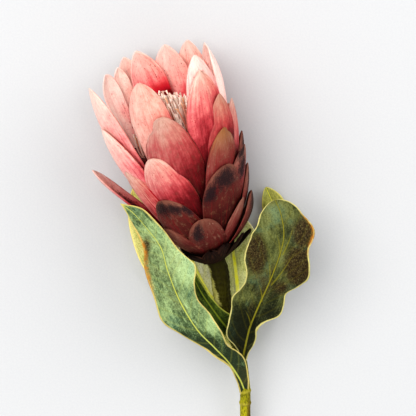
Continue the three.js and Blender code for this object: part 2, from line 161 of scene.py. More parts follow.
class Shape:
    """Gathers points, faces and values at the points, and becomes one piece of the scene."""

    def __init__(self):
        self.points, self.quads, self.triangles, self.values, self.count = [], [], [], {}, 0

    def add(self, points, quads=(), triangles=(), **values):
        points = np.asarray(points, float).reshape(-1, 3)
        self.points.append(points)
        self.quads.append(np.asarray(quads, int).reshape(-1, 4) + self.count)
        self.triangles.append(np.asarray(triangles, int).reshape(-1, 3) + self.count)
        for name, value in values.items():
            value = np.asarray(value, float)
            full = np.zeros((len(points),) + value.shape[1:] if value.ndim else len(points)) + value
            self.values.setdefault(name, []).append(full)
        self.count += len(points)

    def build(self, name, material, node):
        points = laid_down(np.vstack(self.points))
        points[:, 2] = np.maximum(points[:, 2], 0)
        faces = [*np.vstack(self.quads).tolist(), *np.vstack(self.triangles).tolist()]
        mesh = bpy.data.meshes.new(name)
        mesh.from_pydata(points.tolist(), [], faces)
        mesh.polygons.foreach_set("use_smooth", np.ones(len(faces), bool))
        for key, pieces in self.values.items():
            value = np.concatenate(pieces)
            kind = "FLOAT" if value.ndim == 1 else "FLOAT_VECTOR"
            attribute = mesh.attributes.new(key, kind, "POINT")
            attribute.data.foreach_set("value" if kind == "FLOAT" else "vector", value.ravel())
        mesh.validate()
        mesh.update()
        mesh.materials.append(material)
        piece = add_object(name, mesh)
        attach(piece, "root")
        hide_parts(node)


def grid_quads(index):
    return np.stack([index[:-1, :-1], index[:-1, 1:], index[1:, 1:], index[1:, :-1]], -1).reshape(-1, 4)


def closed_rings(count, sides):
    """The numbers of the points in stacked rings, with each ring's first point again at its end."""
    index = np.arange(count * sides).reshape(count, sides)
    return np.hstack([index, index[:, :1]])


def fan(hub, ring):
    """Triangles from a hub to each side of a ring."""
    return np.stack([np.full(len(ring) - 1, hub), ring[:-1], ring[1:]], -1)


def blade(surface, thickness, along_steps, across_steps, roundness=5, relief=None):
    """A thin closed sheet round a middle surface, thinning to nothing at its margin.
    It returns the points, the quads, the grid values of each point, and which face it is on."""
    rows, columns = np.linspace(0, 1, along_steps + 1), np.linspace(-1, 1, across_steps + 1)
    a, t = np.meshgrid(rows, columns, indexing="ij")
    reach = 0.004
    middle = surface(a, t)
    forwards = surface(np.minimum(a + reach, 1), t) - surface(np.maximum(a - reach, 0), t)
    sideways = surface(a, np.minimum(t + reach, 1)) - surface(a, np.maximum(t - reach, -1))
    normal = unit(np.cross(sideways, forwards))
    half = thickness / 2 * np.sqrt((1 - np.abs(t) ** roundness) * (1 - a ** 14))
    half[0] = 0
    if relief:
        middle = middle + normal * relief(a, t)[..., None]
    front = middle + normal * half[..., None]
    back = middle - normal * half[..., None]
    upper = np.arange(a.size).reshape(a.shape)
    lower = upper.copy()
    inner = (slice(1, -1), slice(1, -1))
    lower[inner] = a.size + np.arange(upper[inner].size).reshape(upper[inner].shape)
    points = np.vstack([front.reshape(-1, 3), back[inner].reshape(-1, 3)])
    quads = np.vstack([grid_quads(upper), grid_quads(lower)[:, ::-1]])
    face = np.full(a.shape, 0.5)
    face[inner] = 1
    a, t = (np.concatenate([grid.ravel(), grid[inner].ravel()]) for grid in (a, t))
    return points, quads, a, t, np.concatenate([face.ravel(), np.zeros(upper[inner].size)])


def turned(profile, sides, rough, seed):
    """A turned closed form about the head's axis, from radius and height pairs that start and end on it."""
    profile = np.array(profile, float)
    angle = even_angles(sides)
    radius, height = profile[1:-1, :1], profile[1:-1, 1:]
    radius = radius + rough * ripple(np.cos(angle) * 1.5 + height * 0.05, np.sin(angle) * 1.5, seed)
    points = vector(radius * np.cos(angle), radius * np.sin(angle), height).reshape(-1, 3)
    index = closed_rings(len(height), sides)
    triangles = np.vstack([fan(len(points), index[0])[:, [0, 2, 1]], fan(len(points) + 1, index[-1])])
    ends = [[0, 0, profile[0, 1]], [0, 0, profile[-1, 1]]]
    return np.vstack([points, ends]), grid_quads(index), triangles


# Node trees


def srgb(r, g, b):
    """A colour given as it looks on the screen, from 0 to 255."""
    c = np.array([r, g, b]) / 255
    linear = np.where(c <= 0.04045, c / 12.92, ((c + 0.055) / 1.055) ** 2.4)
    return (*linear.tolist(), 1)


class Shader:
    """A material built up from nodes. Its colours are given as they look on the screen."""

    def __init__(self, name, roughness, specular, subsurface=0):
        self.material = bpy.data.materials.new(name)
        self.material.use_nodes = True
        self.tree = self.material.node_tree
        self.surface = next(n for n in self.tree.nodes if n.type == "BSDF_PRINCIPLED")
        self.colour = None
        settings = {"Roughness": roughness, "Specular IOR Level": specular, "Subsurface Weight": subsurface,
                    "Subsurface Radius": (0.9, 1, 1), "Subsurface Scale": 0.001}
        for key, value in settings.items():
            self.feed(self.surface.inputs[key], value)

    def put(self, kind, inputs=None, **settings):
        node = self.tree.nodes.new(kind)
        for key, value in settings.items():
            setattr(node, key, value)
        for key, value in (inputs or {}).items():
            self.feed(node.inputs[key], value)
        return node

    def feed(self, socket, value):
        if isinstance(value, bpy.types.NodeSocket):
            self.tree.links.new(value, socket)
        else:
            socket.default_value = srgb(*value) if socket.type == "RGBA" else value

    def value(self, name):
        return self.put("ShaderNodeAttribute", attribute_name=name).outputs["Fac"]

    def noise(self, stretch, at=None, detail=3.0, roughness=0.55, distortion=0):
        """Noise, stretched three ways, over the piece's values "place" or over other coordinates."""
        if at is None:
            at = self.put("ShaderNodeAttribute", attribute_name="place").outputs["Vector"]
        at = self.put("ShaderNodeVectorMath", {0: at, 1: stretch}, operation="MULTIPLY").outputs[0]
        node = self.put("ShaderNodeTexNoise", {"Vector": at, "Scale": 1, "Detail": detail,
                                               "Roughness": roughness, "Distortion": distortion})
        return node.outputs["Fac"]

    def chain(self, operation, values):
        result = values[0]
        for value in values[1:]:
            result = self.put("ShaderNodeMath", {0: result, 1: value}, operation=operation).outputs[0]
        return result

    def plus(self, *values):
        return self.chain("ADD", values)

    def times(self, *values):
        return self.chain("MULTIPLY", values)

    def lean(self, value, amount):
        """The value's distance from a half, times an amount."""
        node = self.put("ShaderNodeMath", {0: value, 1: amount, 2: -amount / 2}, operation="MULTIPLY_ADD")
        return node.outputs[0]

    def step(self, value, low, high, start=0, end=1):
        """A smooth step from the start to the end while the value goes from low to high."""
        node = self.put("ShaderNodeMapRange", {"Value": value, "From Min": low, "From Max": high,
                                               "To Min": start, "To Max": end},
                        interpolation_type="SMOOTHSTEP")
        return node.outputs[0]

    def mix(self, share, under, over):
        return self.put("ShaderNodeMix", {0: share, 6: under, 7: over}, data_type="RGBA").outputs[2]

    def cover(self, share, over):
        """Lays a colour over the colour so far."""
        self.colour = self.mix(share, self.colour, over)

    def ramp(self, value, stops):
        node = self.put("ShaderNodeValToRGB", {"Fac": value})
        elements = node.color_ramp.elements
        while len(elements) < len(stops):
            elements.new(0.5)
        for element, (position, colour) in zip(elements, stops.items()):
            element.position = position
            element.color = srgb(*colour)
        return node.outputs["Color"]

    def bump(self, *layers):
        """A normal for layers of relief, each with its height, distance in metres and strength."""
        normal = None
        for height, distance, strength in layers:
            node = self.put("ShaderNodeBump", {"Height": height, "Distance": distance, "Strength": strength})
            if normal is not None:
                self.feed(node.inputs["Normal"], normal)
            normal = node.outputs[0]
        return normal

    def finish(self, normal, roughness=None):
        self.feed(self.surface.inputs["Base Color"], self.colour)
        self.feed(self.surface.inputs["Normal"], normal)
        if roughness is not None:
            self.feed(self.surface.inputs["Roughness"], roughness)
        return self.material


# Flower head

HEAD = {"radius": 43, "widest_at": 97, "foot_depth": 5, "roundness": 1.7, "draw_in": 2, "mouth": 28}
BRACT = {"thick": 1.1, "arc": 40 * DEG, "spacing": 0.17, "deepest": 16, "foot_width": 0.5,
         "most_tip": 0.6, "hook": 2.5, "along": 40, "across": 22}
# Painted shade and painted light: how much darker the colour gets towards a bract's right margin as seen,
# and how much lighter towards its left one.
PAINTED_SIDE_LIGHTING = {"deeper": 0.12, "painted_light": 0.18}
# Beyond the first azimuth the sides are counted the other way, so that the painted shade stays on the right
# as seen. Between both, on the far left, the painted shade is twice as strong.
TURNED_AWAY = 100
FAR_LEFT = -160


@dataclass
class Bract:
    """A bract: where it stands, its form in millimetres, and its looks in shares of one."""

    azimuth: float
    tip: float
    half_width: float
    point: float
    flare: float
    pale: float
    # How dusky it is: partly the bract's own dusky colour and partly painted shade, strongest on the lower
    # bracts.
    dusk: float
    turn: float = 0
    # How far below the tip it is widest, in half widths.
    blunt: float = 2.1
    # How far it bulges outwards, and how far its right half is folded back along a crease.
    belly: float = 0
    fold: float = 0
    # How soon it reddens below its tip, and how much more at its foot.
    redden: float = 1
    red_foot: float = 0
    veined: float = 0.2
    # How golden-brown the tip is.
    gilt: float = 0
    # Dark marks: across from -1 to 1, millimetres below the tip, and the reach across and down.
    marks: tuple = ()

    @property
    def foot(self):
        return min(max(self.tip / 12, 0), 8) - 4

    def height(self, a):
        return self.foot + (self.tip - self.foot) * np.sin(a * pi / 2) ** 1.35


BRACTS = [
    Bract(-69, 119, 16.5, 0.85, 0.5, 0.75, 0.05, redden=0.4),
    # These two back bracts are kept pale: partly their own cream colour, partly painted light against the
    # shade on their inner faces.
    Bract(-131.5, 117, 7.6, 0.6, -3, 1, 0, redden=0.26),
    Bract(-149, 117.5, 6, 0.8, -1, 0.7, 0, redden=0.5),
    Bract(-159, 121.5, 9, 0.8, 1.6, 0.75, 0, redden=0.6),
    Bract(-182, 123.2, 10.8, 0.75, -3, 0.75, 0.05, turn=10, redden=1.05, red_foot=0.4),
    Bract(163, 121.2, 12.5, 0.7, -1.3, 0.75, 0, redden=0.8),
    Bract(140.5, 120.4, 14, 0.7, 1, 0.5, 0, redden=0.88),
    Bract(114, 118, 11, 0.9, -1, 0.75, 0, redden=0.8),
    Bract(92, 117, 11, 0.9, -4, 0.8, 0, redden=0.35),
    Bract(44, 120.5, 14, 0.75, -1.5, 0.8, 0, redden=0.75),
    Bract(-15, 117, 11.8, 0.65, 0, 0.25, 0.16, fold=0.5, redden=0.36),
    Bract(37.5, 112, 15, 0.75, 2.2, 0.2, 0.04, fold=1.1),
    Bract(-64, 95, 15, 0.85, 2, 0.7, 0, redden=0.6),
    Bract(-7, 95, 15.3, 0.55, 0, 0.25, 0.4, redden=0.88),
    Bract(50, 95, 14.5, 0.8, 2.1, 0, 0.3, redden=1.25, gilt=0.3),
    Bract(74, 87, 13.5, 0.8, 0.8, 0.2, 0.3, marks=[(0.6, 6, 0.5, 12)]),
    Bract(108, 80, 14, 0.8, -1.5, 0.1, 0.45),
    Bract(140, 95, 15, 0.7, 0, 0.2, 0.3),
    Bract(178, 98, 16, 0.7, 0, 0.3, 0.2),
    Bract(-143, 95, 15, 0.7, 0, 0.4, 0.05),
    Bract(-110, 92, 15, 0.8, 0, 0.5, 0),
    Bract(-24, 73, 14.3, 0.55, 0, 0.35, 0.15, redden=1.1),
    Bract(44.5, 75.5, 15, 0.6, 2, 0, 0.8, fold=0.5, gilt=1),
    Bract(88, 64, 12, 0.7, 2, 0, 0.95, marks=[(0, 7, 0.8, 12)]),
    Bract(-60, 69, 13.5, 0.8, 0, 0.25, 0.25, redden=0.7, veined=1.4),
    Bract(66, 59.5, 14.5, 0.7, 4, 0.05, 0.8, marks=[(-0.25, 12, 0.5, 9), (-0.6, 3, 0.6, 6)]),
    Bract(122, 72, 14, 0.7, 1, 0, 0.7),
    Bract(153, 70, 14, 0.7, 4.5, 0.1, 0.5),
    Bract(-163, 72, 14, 0.7, 3.5, 0.15, 0.35),
    Bract(-125, 70, 14, 0.7, 0, 0.2, 0.15, veined=1.4),
    Bract(41.5, 54.5, 16.5, 0.55, 2.8, 0, 1, turn=-4, blunt=1.2,
          marks=[(-0.15, 7, 0.85, 9), (-0.75, 13, 0.35, 8)]),
    Bract(-33, 46, 15, 0.5, 0, 0, 1, marks=[(-0.25, 6, 0.75, 7), (0.45, 7, 0.5, 5), (0.9, 10, 0.3, 5)]),
    Bract(-98, 68, 7.5, 0.8, 15, 0.85, 0.25, marks=[(0, 30, 0.6, 16)]),
    Bract(92, 44, 12, 0.7, 4, 0, 0.9, belly=2, marks=[(0, 8, 0.8, 12)]),
    Bract(142, 46, 13, 0.7, 1, 0, 0.8, marks=[(0.2, 7, 0.7, 9)]),
    Bract(180, 45, 13, 0.7, 0, 0, 0.7),
    Bract(-142, 46, 13, 0.7, 0, 0, 0.6, marks=[(-0.2, 7, 0.6, 8)]),
    Bract(-1, 28, 11.3, 0.5, 1.5, 0, 1, marks=[(-0.4, 8, 0.42, 9)]),
    Bract(-58, 26, 11, 0.6, 0, 0, 1),
    Bract(63, 29, 11, 0.7, 3, 0, 0.9, marks=[(0.5, 5, 0.5, 8)]),
    Bract(84, 28.5, 13, 0.6, 5.5, 0, 1, belly=4.5, marks=[(0, 6, 0.9, 13)]),
    Bract(124, 25, 12, 0.7, 3, 0, 0.95),
    Bract(162, 28, 11, 0.7, 0, 0, 0.9),
    Bract(-160, 28, 11, 0.7, 0, 0, 0.85),
    Bract(-120, 27, 11, 0.7, 0, 0, 0.9),
    Bract(-85, 27, 11, 0.7, 0, 0, 0.95),
]


def bowl_radius(height):
    height = np.asarray(height, float)
    rise = np.clip((height + HEAD["foot_depth"]) / (HEAD["widest_at"] + HEAD["foot_depth"]), 0, 1)
    low = HEAD["radius"] * np.sqrt(1 - (1 - rise) ** HEAD["roundness"])
    high = HEAD["radius"] - HEAD["draw_in"] * ((height - HEAD["widest_at"]) / HEAD["mouth"]) ** 2
    return np.where(height > HEAD["widest_at"], high, low)


def bract_surface(bract, rng):
    length = bract.tip - bract.foot
    tip_length = min(bract.blunt * bract.half_width, BRACT["most_tip"] * length)
    sway, curl = rng.uniform(-1.2, 1.2), rng.uniform(-0.9, 0.5)
    wave, phase, waves = rng.uniform(0.15, 0.5), rng.uniform(0, 6.3), rng.uniform(1.2, 2.4)
    keel, shingle = rng.uniform(0.1, 0.55), rng.uniform(0.2, 0.6)

    def width(below, risen, up, t):
        down = np.clip((below - tip_length) / (length - tip_length), 0, 1)
        narrowed = (1 - up * up) ** bract.point * (1 - (1 - BRACT["foot_width"]) * down * down)
        return bract.half_width * narrowed * (1 + 0.012 * np.sin(9 * risen + phase * (1 + t)))

    def relief(below, risen, up, t):
        body = ease(risen, 0.1, 0.5) * (1 - up ** 3)
        ridge = keel * hump(t, 0, 0.16) + shingle * t
        swing = wave * np.sin(2 * pi * waves * risen + phase + 1.5 * t) * t * t
        crease = ease(t, 0.02, 0.16) * (1 - ease(t, 0.5, 1)) * (1 - ease(below, 20, 60))
        return (ridge + swing) * body - bract.fold * crease

    def surface(a, t):
        height = bract.height(a)
        below = bract.tip - height
        risen = (height - bract.foot) / length
        up = np.clip(1 - below / tip_length, 0, 0.998)
        depth = BRACT["deepest"] * (1 - np.exp(-BRACT["spacing"] * below / BRACT["deepest"]))
        lean = bract.flare * risen ** 1.5 + bract.belly * np.sin(pi * risen)
        lean = lean - (BRACT["hook"] - curl) * up * up
        radius = np.maximum(bowl_radius(height) - depth, 4) + lean + relief(below, risen, up, t)
        arc_radius = width(below, risen, up, t) / sin(BRACT["arc"])
        across = arc_radius * np.sin(t * BRACT["arc"]) + sway * up * up
        inwards = arc_radius * (1 - np.cos(t * BRACT["arc"]))
        angle = (bract.azimuth + bract.turn * risen) * DEG
        out = vector(np.sin(angle), -np.cos(angle), 0)
        side = vector(np.cos(angle), np.sin(angle), 0)
        return out * (radius - inwards)[..., None] + side * across[..., None] + vector(0, 0, height)

    return surface


def bract_values(bract, a, t, face, number):
    below = bract.tip - bract.height(a)
    # Painted light and painted shade across the bract: the side counts up towards its right margin as seen,
    # where the colour is made darker, and down towards its left one, where it is made lighter.
    side = -t if abs(bract.azimuth) > TURNED_AWAY else t
    deeper = PAINTED_SIDE_LIGHTING["deeper"] * (2 if FAR_LEFT < bract.azimuth < -TURNED_AWAY else 1)
    mark = np.zeros(len(a))
    for across, down, wide, deep in bract.marks:
        mark = np.maximum(mark, hump(t, across, wide) * hump(below, down, deep))
    red = bract.redden * below / 60 + bract.red_foot * ease(below, 21, 32)
    return {
        "place": vector(t * bract.half_width, below, number * 7.3),
        # The side term is painted shade towards the right margin as seen.
        "below": red + deeper * side * ease(below, 6, 34),
        "edge": np.abs(t),
        "outside": face,
        # The side term is painted light towards the left margin as seen.
        "pale": np.clip(bract.pale - PAINTED_SIDE_LIGHTING["painted_light"] * side, 0, 1),
        "dusk": bract.dusk,
        "mark": mark,
        "veined": bract.veined,
        "gilt": bract.gilt * hump(below, 0, 9),
    }


def make_bract_material():
    s = Shader("bract_skin", roughness=0.6, specular=0.1, subsurface=0.25)
    streaks = s.noise((1, 0.04, 1), detail=5, roughness=0.6)
    fibres = s.noise((4.5, 0.12, 1))
    blotches = s.noise((0.16, 0.09, 1), detail=4, roughness=0.6)
    clouds = s.noise((0.42, 0.3, 1), detail=6, roughness=0.7)
    grain = s.noise((2.2, 1.8, 1), detail=4, roughness=0.7)
    flecks = s.noise((0.85, 0.6, 1), roughness=0.6)
    below, dusk = s.value("below"), s.value("dusk")
    share = s.plus(below, s.lean(streaks, 0.24), s.lean(blotches, 0.45), s.lean(clouds, 0.32))
    outer = s.ramp(share, {0: (234, 188, 170), 0.15: (224, 146, 130), 0.3: (212, 96, 94),
                           0.46: (168, 52, 56), 0.62: (104, 24, 28), 1: (44, 8, 11)})
    inner = s.ramp(share, {0: (253, 226, 210), 0.2: (246, 170, 148), 0.42: (228, 92, 82),
                           0.7: (206, 34, 56), 1: (120, 10, 20)})
    cream = s.ramp(share, {0: (250, 224, 214), 0.24: (247, 197, 189), 0.44: (243, 133, 141),
                           0.64: (206, 60, 74), 1: (104, 20, 26)})
    dusky = s.ramp(share, {0: (136, 90, 76), 0.22: (106, 48, 43), 0.5: (72, 25, 23),
                           1: (36, 9, 10)})
    s.colour = s.mix(s.value("outside"), inner, outer)
    s.cover(s.times(s.value("pale"), s.step(share, 0.2, 0.9, 1, 0.3)), cream)
    # The dusky colour laid over the rest is partly painted shade.
    s.cover(dusk, dusky)
    olive = s.times(dusk, s.step(clouds, 0.48, 0.66, 0, 0.6))
    s.cover(olive, (112, 76, 50))
    gilt = s.times(s.value("gilt"), s.step(streaks, 0.3, 0.7, 0.5, 1))
    s.cover(gilt, (158, 108, 60))
    veins = s.times(s.step(streaks, 0.53, 0.62), s.value("veined"), s.step(share, 0.02, 0.35))
    s.cover(veins, (168, 26, 42))
    freckles = s.times(s.step(grain, 0.56, 0.72), s.step(dusk, 0.1, 0.6, 0.42, 0.1))
    s.cover(freckles, (176, 72, 68))
    red_flecks = s.times(s.step(flecks, 0.6, 0.7), s.step(share, 0.02, 0.2, 0.2, 0.65),
                         s.step(s.plus(share, dusk), 0.4, 0.6, 1, 0))
    s.cover(red_flecks, (166, 40, 48))
    bloom = s.times(s.step(clouds, 0.52, 0.74), s.step(below, 0.1, 0.5, 0.35, 0.04))
    s.cover(bloom, (222, 184, 170))
    mark = s.plus(s.value("mark"), s.lean(grain, 1.5), s.lean(clouds, 1.3))
    mark = s.times(s.step(mark, 0.3, 0.95, 0, 0.92), s.step(s.value("mark"), 0.05, 0.3))
    s.cover(mark, (44, 32, 36))
    rim = s.times(s.step(s.value("edge"), 0.94, 1), s.step(dusk, 0, 0.6, 0.55, 0.2))
    s.cover(rim, (228, 124, 112))
    normal = s.bump((fibres, 0.00028, 0.8), (streaks, 0.0006, 0.8), (grain, 0.00014, 0.8))
    return s.finish(normal, s.step(grain, 0.3, 0.7, 0.45, 0.62))


def make_bracts():
    rng = np.random.default_rng(11)
    shape = Shape()
    for number, bract in enumerate(BRACTS):
        surface = bract_surface(bract, rng)
        points, quads, a, t, face = blade(surface, BRACT["thick"], BRACT["along"], BRACT["across"])
        shape.add(from_head(points), quads, **bract_values(bract, a, t, face, number))
    material = make_bract_material()
    shape.build("bract_blades", material, "bracts")
    heights = np.array([2, 6, 12, 18, 24, 30, 38, 46, 54, 62, 70])
    outer = np.maximum(7.5, bowl_radius(heights) - 4.5 - 5 * ease(heights, 6, 40))
    profile = [(0, -3.5), (6, -3.5), (7.5, -2.6), *zip(outer, heights),
               (25, 70), (19.5, 44), (12, 18), (0, 18)]
    points, quads, triangles = turned(profile, 96, rough=0.25, seed=5)
    cup = Shape()
    cup.add(from_head(points), quads, triangles, place=vector(points[:, 0], points[:, 2], points[:, 1]),
            below=0.9, edge=0, outside=1, pale=0, dusk=0.4, mark=0, veined=0.5, gilt=0)
    cup.build("bract_cup", material, "bracts")


# Scales at the foot of the head

SCALE = {"top": -3.8, "bottom": -6.4, "foot_height": 0.7, "foot_radius": 6.0, "thick": 0.95,
         "along": 22, "across": 18}
# Each scale: azimuth, height of the tip, how far out the tip is, and half width.
SCALES = [(-52, 4, 18, 7), (-2, 4, 17.5, 8.5), (28, 5.5, 19, 7), (62, 7, 24, 7), (92, 4.4, 26.3, 6)]
# The ones out of sight: how many, and the azimuths that they stand between.
BACK_SCALES = {"count": 7, "from": 122, "to": 277}


def repeatable(seed):
    """Even numbers from 0 to 1, the same in each run."""
    state = seed
    while True:
        state = (state * 1664525 + 1013904223) % 4294967296
        yield state / 4294967296


def scale_surface(azimuth, tip, radius, half_width, number):
    foot, foot_radius = SCALE["bottom"] + SCALE["foot_height"], SCALE["foot_radius"]
    angle = azimuth * DEG
    out, side = vector(sin(angle), -cos(angle), 0), vector(cos(angle), sin(angle), 0)

    def surface(a, t):
        width = half_width * (0.6 + 0.6 * a) * np.maximum(1 - a ** 5, 0.1)
        width = width * (1 + 0.1 * ripple(a * 2, t * 0.5, number + 40))
        ragged = 0.05 * ripple(t * 2.5, number, number + 60) * ease(a, 0.7, 1)
        cupped = 0.12 * half_width * t * t
        height = foot + (tip - foot) * a ** 1.4 + cupped + 0.5 * ripple(a, t, number + 80) * a
        reach = foot_radius + (radius - foot_radius) * np.clip(a + ragged, 0, 1) - cupped
        return out * reach[..., None] + side * (width * t)[..., None] + vector(0, 0, height)

    return surface


def make_scale_material():
    s = Shader("scale_skin", roughness=0.65, specular=0.12)
    streaks = s.noise((1.4, 0.12, 1), detail=4)
    grain = s.noise((1.6, 1.6, 1), detail=5, roughness=0.7)
    s.colour = s.ramp(streaks, {0.25: (18, 9, 6), 0.5: (42, 24, 19), 0.75: (84, 52, 39)})
    s.cover(s.step(grain, 0.52, 0.7, 0, 0.35), (104, 84, 52))
    s.cover(s.step(s.value("a"), 0.8, 1, 0, 0.5), (34, 20, 20))
    normal = s.bump((streaks, 0.0008, 0.8), (grain, 0.0003, 0.7))
    return s.finish(normal, s.step(grain, 0.3, 0.7, 0.5, 0.7))


def make_scales():
    draw = repeatable(3)
    specs = list(SCALES)
    spacing = (BACK_SCALES["to"] - BACK_SCALES["from"]) / (BACK_SCALES["count"] - 1)
    for i in range(BACK_SCALES["count"]):
        tip = 2 + 4 * next(draw)
        radius = float(bowl_radius(tip)) + 1 + 2 * next(draw)
        specs.append((BACK_SCALES["from"] + i * spacing, tip, radius, 6 + next(draw)))
    shape = Shape()
    for number, (azimuth, tip, radius, half_width) in enumerate(specs):
        surface = scale_surface(azimuth, tip, radius, half_width, number)
        points, quads, a, t, _ = blade(surface, SCALE["thick"], SCALE["along"], SCALE["across"])
        shape.add(from_head(points), quads, place=vector(t * half_width, a * radius, number * 5.1), a=a)
    bottom, top = SCALE["bottom"], SCALE["top"]
    profile = [(0, bottom), (6.6, bottom), (7.7, bottom + 0.4), (8, -5), (7.8, -4.2), (7.2, top), (0, top)]
    points, quads, triangles = turned(profile, 72, rough=0.3, seed=9)
    shape.add(from_head(points), quads, triangles, place=points, a=0)
    shape.build("foot_scales", make_scale_material(), "base_scales")


# Florets

FLORET = {"count": 230, "radius": 19.5, "reach": 22.6, "tallest": 102, "lowest": 84, "length": 34,
          "sides": 7, "steps": 14}
FLORET_CONE = [(0, 18.3), (11.2, 18.3), (17, 40), (19.5, 64), (18.6, 70), (14.6, 76), (8, 81), (0, 83)]


def floret_line(i, rng):
    """One floret from its foot in the cone to the end of its hooked tip."""
    share = sqrt((i + 0.5) / FLORET["count"])
    angle = i * GOLDEN_ANGLE + rng.uniform(-0.08, 0.08)
    out = np.array([cos(angle), sin(angle), 0])
    round_it = np.array([-sin(angle), cos(angle), 0])
    up = np.array([0, 0, 1])
    height = FLORET["tallest"] + (FLORET["lowest"] - FLORET["tallest"]) * share ** 2
    height += rng.uniform(-3, 1.5)
    tip = out * FLORET["reach"] * share + round_it * rng.uniform(-1.4, 1.4) + up * height
    foot = out * FLORET["radius"] * 0.8 * share + up * (height - FLORET["length"])
    bend = out * 2.5 * share + round_it * rng.uniform(-1.5, 1.5) + out * rng.uniform(-1, 1)
    hook = -out * rng.uniform(0.6, 2.4) + round_it * rng.uniform(-1.6, 1.6)
    knee = tip + hook * 0.2 - up * 1.2
    end = tip + hook - up * rng.uniform(1.2, 3.4)
    return Line([foot, foot * 0.45 + tip * 0.55 + bend, foot * 0.15 + tip * 0.85 + bend * 0.4, knee, end])


def make_floret_material():
    s = Shader("floret_skin", roughness=0.6, specular=0.15)
    up = s.plus(s.value("up"), s.lean(s.noise((0.6, 0.6, 0.6)), 0.3))
    pale = s.ramp(up, {0: (70, 20, 20), 0.32: (226, 116, 104), 0.5: (255, 200, 186),
                       0.84: (255, 246, 234), 1: (255, 222, 206)})
    dark = s.ramp(up, {0: (50, 20, 12), 0.5: (178, 88, 66), 0.78: (238, 160, 134),
                       1: (236, 190, 140)})
    s.colour = s.mix(s.step(s.value("tone"), 0.78, 1), pale, dark)
    fine = s.noise((3.0, 3.0, 1.2), detail=4)
    s.cover(s.step(fine, 0.45, 0.7, 0, 0.35), (255, 214, 198))
    return s.finish(s.bump((fine, 0.0003, 0.8)))


def make_florets():
    rng = np.random.default_rng(7)
    sides, steps = FLORET["sides"], FLORET["steps"]
    shape = Shape()
    points, quads, triangles = turned(FLORET_CONE, 72, rough=0.4, seed=3)
    shape.add(from_head(points), quads, triangles, place=points, up=0, tone=0)
    s, angle = np.linspace(0, 1, steps + 1), even_angles(sides)
    radii = 0.62 - 0.2 * s + 0.22 * hump(s, 0.93, 0.05) + 0.1 * hump(s, 0.7, 0.06)
    radii[-1] *= 0.35
    quads = grid_quads(closed_rings(steps + 1, sides))
    end = steps * sides
    cap = [(end, end + k, end + k + 1) for k in range(1, sides - 1)]
    for i in range(FLORET["count"]):
        line = floret_line(i, rng)
        radius = (radii * rng.uniform(0.85, 1.15))[:, None]
        points = line.rings(s, radius * np.cos(angle), radius * np.sin(angle)).reshape(-1, 3)
        shape.add(from_head(points), quads, cap, place=points, up=np.repeat(s, sides), tone=rng.uniform())
    shape.build("floret_tuft", make_floret_material(), "floret_cone")


# Stem

STEM = {"thick": 5.8, "thin": 3.3, "taper_from": 8, "taper_to": 74, "length": 170, "cut_slope": 22 * DEG,
        "steps": 380, "sides": 44}
STEM_TOP = -6.7
STEM_LINE = Line([
    *from_head(np.array([[0, 0, STEM_TOP], [0, 0, STEM_TOP - 8]])),
    [6.6, 9, -31], [11, 13, -46], [17, 17.8, -64], [20.2, 23, -84], [20.6, 29, -104], [22.5, 37.5, -134],
    [24.5, 45, -160],
])
# Rings where old leaves sat, in shares of the stem's length.
STEM_RINGS = [0.36, 0.53, 0.58, 0.8]
# The rings of the cut face, in shares of its radius.
CUT_RINGS = [1, 0.86, 0.6, 0.3]


def leaf_foot(points):
    """Where the torn foot of a pale leaf clings to the front left of the upper stem."""
    x, z = points[..., 0], points[..., 2]
    jags = 0.45 * np.abs(np.sin(z * 2.1)) + 0.3 * np.sin(z * 0.9)
    inside = ease((-8.4 - z) * 0.31 - 2.4 + jags - x, -0.15, 0.35)
    return inside * ease(-z, 8, 10) * (1 - ease(-z, 32, 35))


def make_stem_material():
    s = Shader("stem_skin", roughness=0.6, specular=0.15, subsurface=0.05)
    coarse = s.noise((0.25, 0.25, 0.12), detail=5, roughness=0.65)
    fine = s.noise((1.2, 1.2, 0.5), detail=4, roughness=0.7)
    lines = s.noise((1.6, 1.6, 0.05))
    down, cut = s.value("down"), s.value("cut")
    s.colour = s.ramp(s.plus(down, s.lean(coarse, 0.25)),
                      {0: (52, 48, 4), 0.22: (68, 66, 6), 0.42: (106, 108, 24),
                       0.6: (170, 164, 34), 0.8: (200, 186, 44), 1: (170, 158, 42)})
    s.cover(s.step(fine, 0.42, 0.62, 0, 0.65), (44, 36, 8))
    s.cover(s.times(s.step(lines, 0.5, 0.7, 0, 0.35), down), (206, 200, 104))
    s.cover(s.times(s.value("ring"), 0.3), (190, 172, 96))
    # Painted shade: the right side of the stem as seen is painted a darker brown.
    browned = s.step(s.plus(s.value("browned"), s.lean(coarse, 1.2)), 0.3, 0.9)
    browned = s.times(browned, s.step(down, 0.5, 0.62, 0, 0.8))
    brown = s.mix(s.step(fine, 0.35, 0.65), (104, 76, 26), (62, 40, 16))
    s.cover(browned, brown)
    husk = s.ramp(s.plus(s.lean(coarse, 1.4), 0.5),
                  {0.2: (128, 122, 56), 0.55: (178, 172, 104), 0.9: (214, 208, 156)})
    s.cover(s.times(s.value("husk"), 0.9), husk)
    wood = s.ramp(cut, {0.3: (120, 112, 60), 0.5: (208, 196, 140), 0.9: (226, 214, 168),
                        1: (176, 150, 100)})
    s.cover(s.step(cut, 0.1, 0.34), wood)
    normal = s.bump((coarse, 0.0012, 0.7), (fine, 0.0005, 0.8))
    return s.finish(normal, s.step(fine, 0.3, 0.7, 0.45, 0.65))


